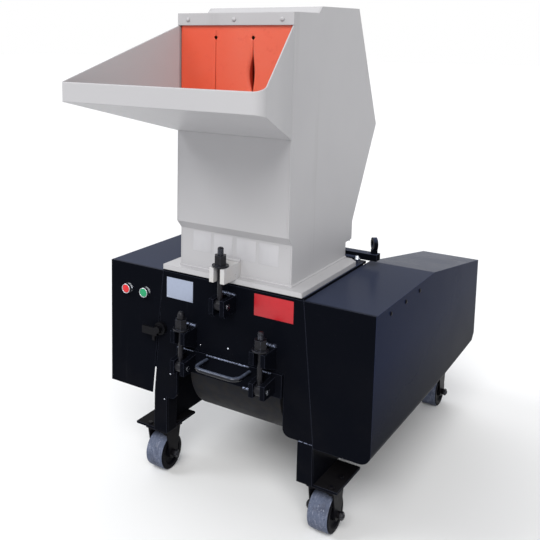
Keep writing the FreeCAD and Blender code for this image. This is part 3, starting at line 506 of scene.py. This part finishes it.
def dome(mesh, centre, direction, radius, high, sides=20):
    """The low round head of a screw."""
    shares = ((0, 1), (0.28, 0.97), (0.7, 0.75), (0.93, 0.4), (1, 0.13))
    profile = [(high * up, radius * out) for up, out in shares]
    lathe(mesh, centre, direction, profile, sides)


def hex_head(mesh, centre, direction, flats, high, spin=0.0):
    """A hexagon head or nut with its corners turned off at the top."""
    turn = upright(direction)
    corner = flats / math.sqrt(3)
    points = 24
    rings = []
    for along, limit in ((0, corner), (high * 0.82, corner), (high, flats * 0.49)):
        radii = []
        for index in range(points):
            angle = 2 * math.pi * index / points
            off_flat = math.fmod(angle + math.pi / 6, math.pi / 3) - math.pi / 6
            radii.append(min(flats / 2 / math.cos(off_flat), limit))
        rings.append(add_ring(mesh, centre, turn, radii, along, spin))
    skin(mesh, rings)


def slab(mesh, low, high, edge):
    """A plate between two corners, with its edges taken off a little."""
    made = bmesh.ops.create_cube(mesh, size=1)
    size = Vector(high) - Vector(low)
    middle = (Vector(high) + Vector(low)) / 2
    for vertex in made["verts"]:
        vertex.co = Vector(vertex.co[axis] * size[axis] for axis in range(3)) + middle
    edges = list({line for vertex in made["verts"] for line in vertex.link_edges})
    bmesh.ops.bevel(mesh, geom=edges, offset=edge, segments=2, profile=0.5, affect="EDGES")


def weld(mesh, points, radius, seed, pitch=0.0045):
    """A weld bead along a line of points, with the ripples and small swellings of real ones."""
    dice = random.Random(seed)
    steps_a_ripple = 4
    sides = 8
    rings = []
    for first, second in zip(points, points[1:]):
        count = max(int((second - first).length / (pitch / steps_a_ripple)), 2)
        turn = upright(second - first)
        for step in range(count + (second == points[-1])):
            wave = math.sin(2 * math.pi * step / steps_a_ripple)
            ripple = 1 + 0.13 * wave + dice.uniform(-0.06, 0.06)
            centre = first.lerp(second, step / count)
            rings.append(add_ring(mesh, centre, turn, [radius * ripple] * sides))
    skin(mesh, rings)


# The pieces


def mouth_screws():
    """Three dome screws that clamp the flaps behind the mouth's strip."""
    low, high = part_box("mouth_strip")
    up = (low.z + high.z) / 2 - 0.001
    mesh = bmesh.new()
    for x in (-0.130, 0.002, 0.131):
        dome(mesh, (x, low.y, up), (0, -1, 0), radius=0.0056, high=0.0042)
    finish_piece("mouth_screws", mesh, "hopper_paint")


def gape_share(z):
    """How much of the right slit's gape there is at a height."""
    return math.exp(-((z - GAPE_HEIGHT) / GAPE_REACH) ** 2)


def slit_half(slit, z):
    """Half the width of a slit at a height."""
    if z > SLIT_TOP:
        return 0.0
    below = SLIT_TOP - z
    hole = math.sqrt(max(HOLE ** 2 - (below - HOLE) ** 2, 0)) if below < 2 * HOLE else 0.0
    gape = GAPE * gape_share(z) if slit > 0 else 0.0
    return max(SLIT_HALF + gape, hole)


def flap_depth(number, share, z):
    """How far a flap stands off the flat at a share of its width and a height."""
    hang = max(SLIT_TOP + 0.02 - z, 0) / 0.25
    lean = (0.0016, 0.0012, -0.0014)[number] * math.cos(math.pi * share) * hang
    belly = 0.0010 * math.sin(math.pi * share) * hang
    turned = 0.0
    if number == 1 and share > CURL_FROM:
        turned = CURL * gape_share(z) * ((share - CURL_FROM) / (1 - CURL_FROM)) ** 2
    return lean + belly + turned


def flaps():
    """The curtain: one sheet across the mouth, slit from below into three flaps."""
    low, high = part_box("curtain")
    middle = (low.y + high.y) / 2
    rows = 160
    columns = 32
    borders = (low.x, *SLITS, high.x)
    mesh = bmesh.new()
    for number, (left, right) in enumerate(zip(borders, borders[1:])):
        grid = []
        for row in range(rows + 1):
            z = high.z + (low.z - high.z) * row / rows
            start = left + (slit_half(left, z) if number else 0)
            end = right - (slit_half(right, z) if number < 2 else 0)
            line = []
            for column in range(columns + 1):
                share = column / columns
                depth = flap_depth(number, share, z)
                line.append(mesh.verts.new((start + (end - start) * share, middle + depth, z)))
            grid.append(line)
        for upper, lower in zip(grid, grid[1:]):
            for column in range(columns):
                mesh.faces.new((upper[column], lower[column], lower[column + 1], upper[column + 1]))
    bmesh.ops.remove_doubles(mesh, verts=mesh.verts, dist=0.0001)
    piece = finish_piece("curtain_flaps", mesh, "curtain_sheet", smooth=60)
    thick = piece.modifiers.new("thickness", "SOLIDIFY")
    thick.thickness = SHEET_THICK
    thick.offset = 0
    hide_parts("curtain")


def panel_plates():
    """The bare rating plate with its rivets, and the plain red plate on the other side."""
    pale_face = PANEL_FACE - 0.0010
    red_face = PANEL_FACE - 0.0006
    mesh = bmesh.new()
    slab(mesh, (-0.192, pale_face, 0.520), (-0.109, PANEL_FACE, 0.576), 0.0004)
    finish_piece("blank_plate", mesh, "pin_steel", PLATE_PALE)
    rivet = [(0, 0.0016), (0.0006, 0.0013), (0.0009, 0.0005)]
    mesh = bmesh.new()
    for x in (-0.188, -0.113):
        for z in (0.524, 0.572):
            lathe(mesh, (x, pale_face, z), (0, -1, 0), rivet, 12)
    finish_piece("blank_plate_rivets", mesh, "pin_steel")
    mesh = bmesh.new()
    slab(mesh, (0.072, red_face, 0.527), (0.179, PANEL_FACE, 0.583), 0.0002)
    finish_piece("red_plate", mesh, "stop_red", PLATE_RED)


def bolt_tails():
    """The threaded tails of the swing bolts above their nuts, the left one under a cap nut."""
    cap = [(0, 0.0098), (0.010, 0.0098), (0.0155, 0.0086), (0.0195, 0.0060), (0.0212, 0.0022)]
    pitch = 0.00175
    root, crest = 0.0070, 0.0078
    thread = [(0, root)]
    for ridge in range(10):
        thread += [(pitch * (ridge + 0.25), root), (pitch * (ridge + 0.75), crest)]
    thread += [(0.0182, 0.0068), (0.0198, 0.0054), (0.0202, 0.0018)]
    for node, profile in (("swing_bolt_top", thread), ("swing_bolt_left", cap),
                          ("swing_bolt_right", thread)):
        low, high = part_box(node)
        foot = ((low.x + high.x) / 2, BOLT_LINE, high.z - 0.018)
        mesh = bmesh.new()
        lathe(mesh, foot, (0, 0, 1), profile, 32)
        finish_piece(node + "_tail", mesh, "bolt_steel", body=node, smooth=40)


def weld_beads():
    """The glossy beads where the ears and the cradle's plate meet the panel, their bright colour a
    painted highlight.
    """
    over_ears = (
        (-20, 21, -3, 569, 567, 0.0052),
        (-135, -96, -3, 461, 461, 0.0056),
        (97, 136, -3, 461, 461, 0.0056),
    )
    # Along the cradle plate's top edge the beads stand in for that edge's highlight.
    over_cradle = (
        (-150, -100, -8, 392.5, 392.5, 0.0026),
        (-60, 66, -8, 391.5, 391.5, 0.0026),
        (102, 128, -8, 391.5, 391.5, 0.0030),
        (50, 68, -8, 334, 334, 0.0036),
    )
    over_foot = (
        (202, 213, -0.5, 236, 236, 0.0014),
        (217, 226, -0.5, 236, 236, 0.0014),
        (230, 238, -0.5, 236, 236, 0.0014),
    )
    mesh = bmesh.new()
    for seed, (left, right, y, z, end_z, radius) in enumerate(over_ears + over_cradle + over_foot):
        weld(mesh, (spot(left, y, z), spot(right, y, end_z)), radius, seed)
    finish_piece("weld_beads", mesh, "black_paint", WELD_BEAD_HIGHLIGHT, smooth=50)


def hopper_beads():
    """The painted beads round the foot of the neck and over the fork for the top bolt."""
    half, front, back, foot = 161, 20, 348, 611
    corners = ((-half, back), (-half, front), (half, front), (half, back))
    mesh = bmesh.new()
    weld(mesh, [spot(x, y, foot) for x, y in corners], 0.0034, 31, 0.006)
    weld(mesh, (spot(-21, 17, 651), spot(21, 17, 651)), 0.0052, 32)
    finish_piece("hopper_beads", mesh, "hopper_paint", smooth=50)


def small_fixings():
    """Zinc screws on the panel and the hinge pins' nuts."""
    nut_high = 0.008
    mesh = bmesh.new()
    for x, z, radius in ((-1, 421, 0.0027), (-84, 411, 0.0022), (-179, 305, 0.0022),
                         (-198, 228, 0.0022)):
        dome(mesh, spot(x, 0, z), (0, -1, 0), radius, high=0.0016, sides=16)
    for side in (-1, 1):
        start = spot(side * 190, 356, 609)
        end = start + Vector((side * nut_high, 0, 0))
        hex_head(mesh, start, (side, 0, 0), flats=0.019, high=nut_high)
        dome(mesh, end, (side, 0, 0), radius=0.0055, high=0.003, sides=16)
    finish_piece("small_fixings", mesh, "pin_steel")


def wheels():
    """The four castors' labels, each with the middle of its wheel."""
    for end in ("front", "rear"):
        for side in ("left", "right"):
            label = "%s_%s" % (end, side)
            low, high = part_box("wheel_" + label)
            yield label, (low + high) / 2


def axle_nuts():
    """The blackened nuts on the castors' axles."""
    nut_high = 0.0065
    mesh = bmesh.new()
    for label, middle in wheels():
        low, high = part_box("castor_%s_fork" % label)
        for outward, x in ((-1, low.x), (1, high.x)):
            end = x + outward * nut_high
            way = (outward, 0, 0)
            hex_head(mesh, (x, middle.y, middle.z), way, flats=0.019, high=nut_high)
            dome(mesh, (end, middle.y, middle.z), way, radius=0.006, high=0.0034, sides=16)
    finish_piece("axle_nuts", mesh, "bolt_steel")


def button_rings():
    """The chrome rims round the two push buttons, with the lenses that they hold."""
    rim = [(0, 0.0140), (0.0066, 0.0136), (0.0078, 0.0128), (0.0078, 0.0119), (0.0071, 0.0114),
           (0, 0.0114)]
    lens = [(0, 0.0110), (0.0008, 0.0110), (0.0016, 0.0098), (0.0021, 0.0060), (0.0022, 0.0020)]
    forward = (0, -1, 0)
    for label, slot in (("stop", "stop_red"), ("start", "start_green")):
        low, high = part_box("button_" + label)
        middle = (low + high) / 2
        mesh = bmesh.new()
        lathe(mesh, (middle.x, high.y, middle.z), forward, rim, 40, closed=True)
        finish_piece("button_%s_rim" % label, mesh, "bezel_chrome")
        mesh = bmesh.new()
        lathe(mesh, (middle.x, low.y, middle.z), forward, lens, 40)
        finish_piece("button_%s_lens" % label, mesh, slot)


def seam_strip():
    """The dark flange in the seam between the left cover and the leg."""
    front, back = 3.2, 5.2
    outline = ((-217.0, 412), (-227.0, 412), (-236.4, 312), (-226.4, 312))
    mesh = bmesh.new()
    skin(mesh, [[mesh.verts.new(spot(x, y, z)) for x, z in outline] for y in (front, back)])
    finish_piece("seam_strip", mesh, "black_paint")


def dark_bolts():
    """Hexagon bolts through the foot plates and dome screws on the two covers."""
    above, below = 0.130, 0.120
    screws_up = 0.571
    mesh = bmesh.new()
    for _, middle in wheels():
        for across in (-0.026, 0.026):
            for along in (-0.029, 0.029):
                x, y = middle.x + across, middle.y + along
                hex_head(mesh, (x, y, above), (0, 0, 1), 0.013, 0.0055, spin=along * 9)
                hex_head(mesh, (x, y, below), (0, 0, -1), 0.013, 0.0065, spin=along * 5)
    screws = ((1, GUARD_SIDE, (93, 197, 301)), (-1, COVER_SIDE, (60, 190, 320)))
    for outward, side, places in screws:
        for y in places:
            centre = (side, PANEL_FACE + y * MM, screws_up)
            dome(mesh, centre, (outward, 0, 0), radius=0.0055, high=0.003)
    finish_piece("dark_bolts", mesh, "castor_steel")


def blank_patches():
    """Four bare square patches in a row on the hopper's neck."""
    width = 54
    mesh = bmesh.new()
    for left, under in ((-122, 656), (-59, 655), (8, 654), (71, 653)):
        slab(mesh, spot(left, 19.6, under), spot(left + width, 20, under + width), 0.0001)
    finish_piece("blank_patches", mesh, "hopper_paint", PATCH_FILM)


# The studio


def background_rays(nodes, links):
    """A value that is 1 where the background is seen, straight or in metal and glass."""
    path = nodes.new("ShaderNodeLightPath")
    seen = path.outputs["Is Camera Ray"]
    for ray in ("Is Glossy Ray", "Is Transmission Ray"):
        either = nodes.new("ShaderNodeMath")
        either.operation = "MAXIMUM"
        links.new(seen, either.inputs[0])
        links.new(path.outputs[ray], either.inputs[1])
        seen = either.outputs[0]
    return seen


def place_object(name, data):
    """A new object in the scene for a mesh, a lamp or a camera."""
    made = bpy.data.objects.new(name, data)
    bpy.context.scene.collection.objects.link(made)
    return made


def pale_floor():
    """A wide plain floor that keeps the machine's shadow."""
    mesh = bmesh.new()
    bmesh.ops.create_grid(mesh, x_segments=1, y_segments=1, size=30)
    data = bpy.data.meshes.new("floor")
    mesh.to_mesh(data)
    mesh.free()
    floor = place_object("floor", data)
    ground = Surface("floor", FLOOR_LIT, 0.9, specular=0.1)
    ground.tint(background_rays(ground.nodes, ground.links), FLOOR_SEEN)
    ground.bump(ground.noise(40, 2), 0.0003, 0.1)
    data.materials.append(ground.material)


def white_backdrop():
    """A world that lights the machine evenly and is seen as white."""
    world = bpy.data.worlds.new("studio")
    bpy.context.scene.world = world
    world.use_nodes = True
    nodes, links = world.node_tree.nodes, world.node_tree.links
    blend = nodes.new("ShaderNodeMix")
    blend.data_type = "RGBA"
    blend.inputs["A"].default_value = WORLD_LIT
    blend.inputs["B"].default_value = WORLD_SEEN
    links.new(background_rays(nodes, links), blend.inputs["Factor"])
    links.new(blend.outputs["Result"], nodes["Background"].inputs["Color"])


def soft_lamps():
    """Large far lamps, each turned towards the machine."""
    for name, towards, spread, power, tone in LAMPS:
        lamp = bpy.data.lights.new(name, "SUN")
        lamp.angle = math.radians(spread)
        lamp.energy = power
        lamp.color = tone
        holder = place_object(name, lamp)
        holder.rotation_euler = Vector(towards).to_track_quat("Z", "Y").to_euler()


def camera():
    """The camera at the photograph's place, with its framing."""
    lens = bpy.data.cameras.new("camera")
    lens.sensor_width = SENSOR
    lens.lens = FOCAL_PIXELS / IMAGE_SIDE * SENSOR
    lens.shift_x = (IMAGE_SIDE / 2 - PRINCIPAL_X) / IMAGE_SIDE
    lens.shift_y = (PRINCIPAL_Y - IMAGE_SIDE / 2) / IMAGE_SIDE
    holder = place_object("camera", lens)
    holder.location = CAMERA_PLACE
    azimuth, elevation = math.radians(CAMERA_AZIMUTH), math.radians(CAMERA_ELEVATION)
    level = math.cos(elevation)
    ahead = Vector((-math.sin(azimuth) * level, math.cos(azimuth) * level, -math.sin(elevation)))
    aim = ahead.to_track_quat("-Z", "Y").to_matrix()
    roll = Matrix.Rotation(math.radians(CAMERA_ROLL), 3, "Z")
    holder.rotation_euler = (aim @ roll).to_euler()
    bpy.context.scene.camera = holder


mouth_screws()
flaps()
panel_plates()
bolt_tails()
weld_beads()
hopper_beads()
small_fixings()
axle_nuts()
button_rings()
seam_strip()
dark_bolts()
blank_patches()
pale_floor()
white_backdrop()
soft_lamps()
camera()
bpy.context.scene.view_settings.view_transform = "Standard"
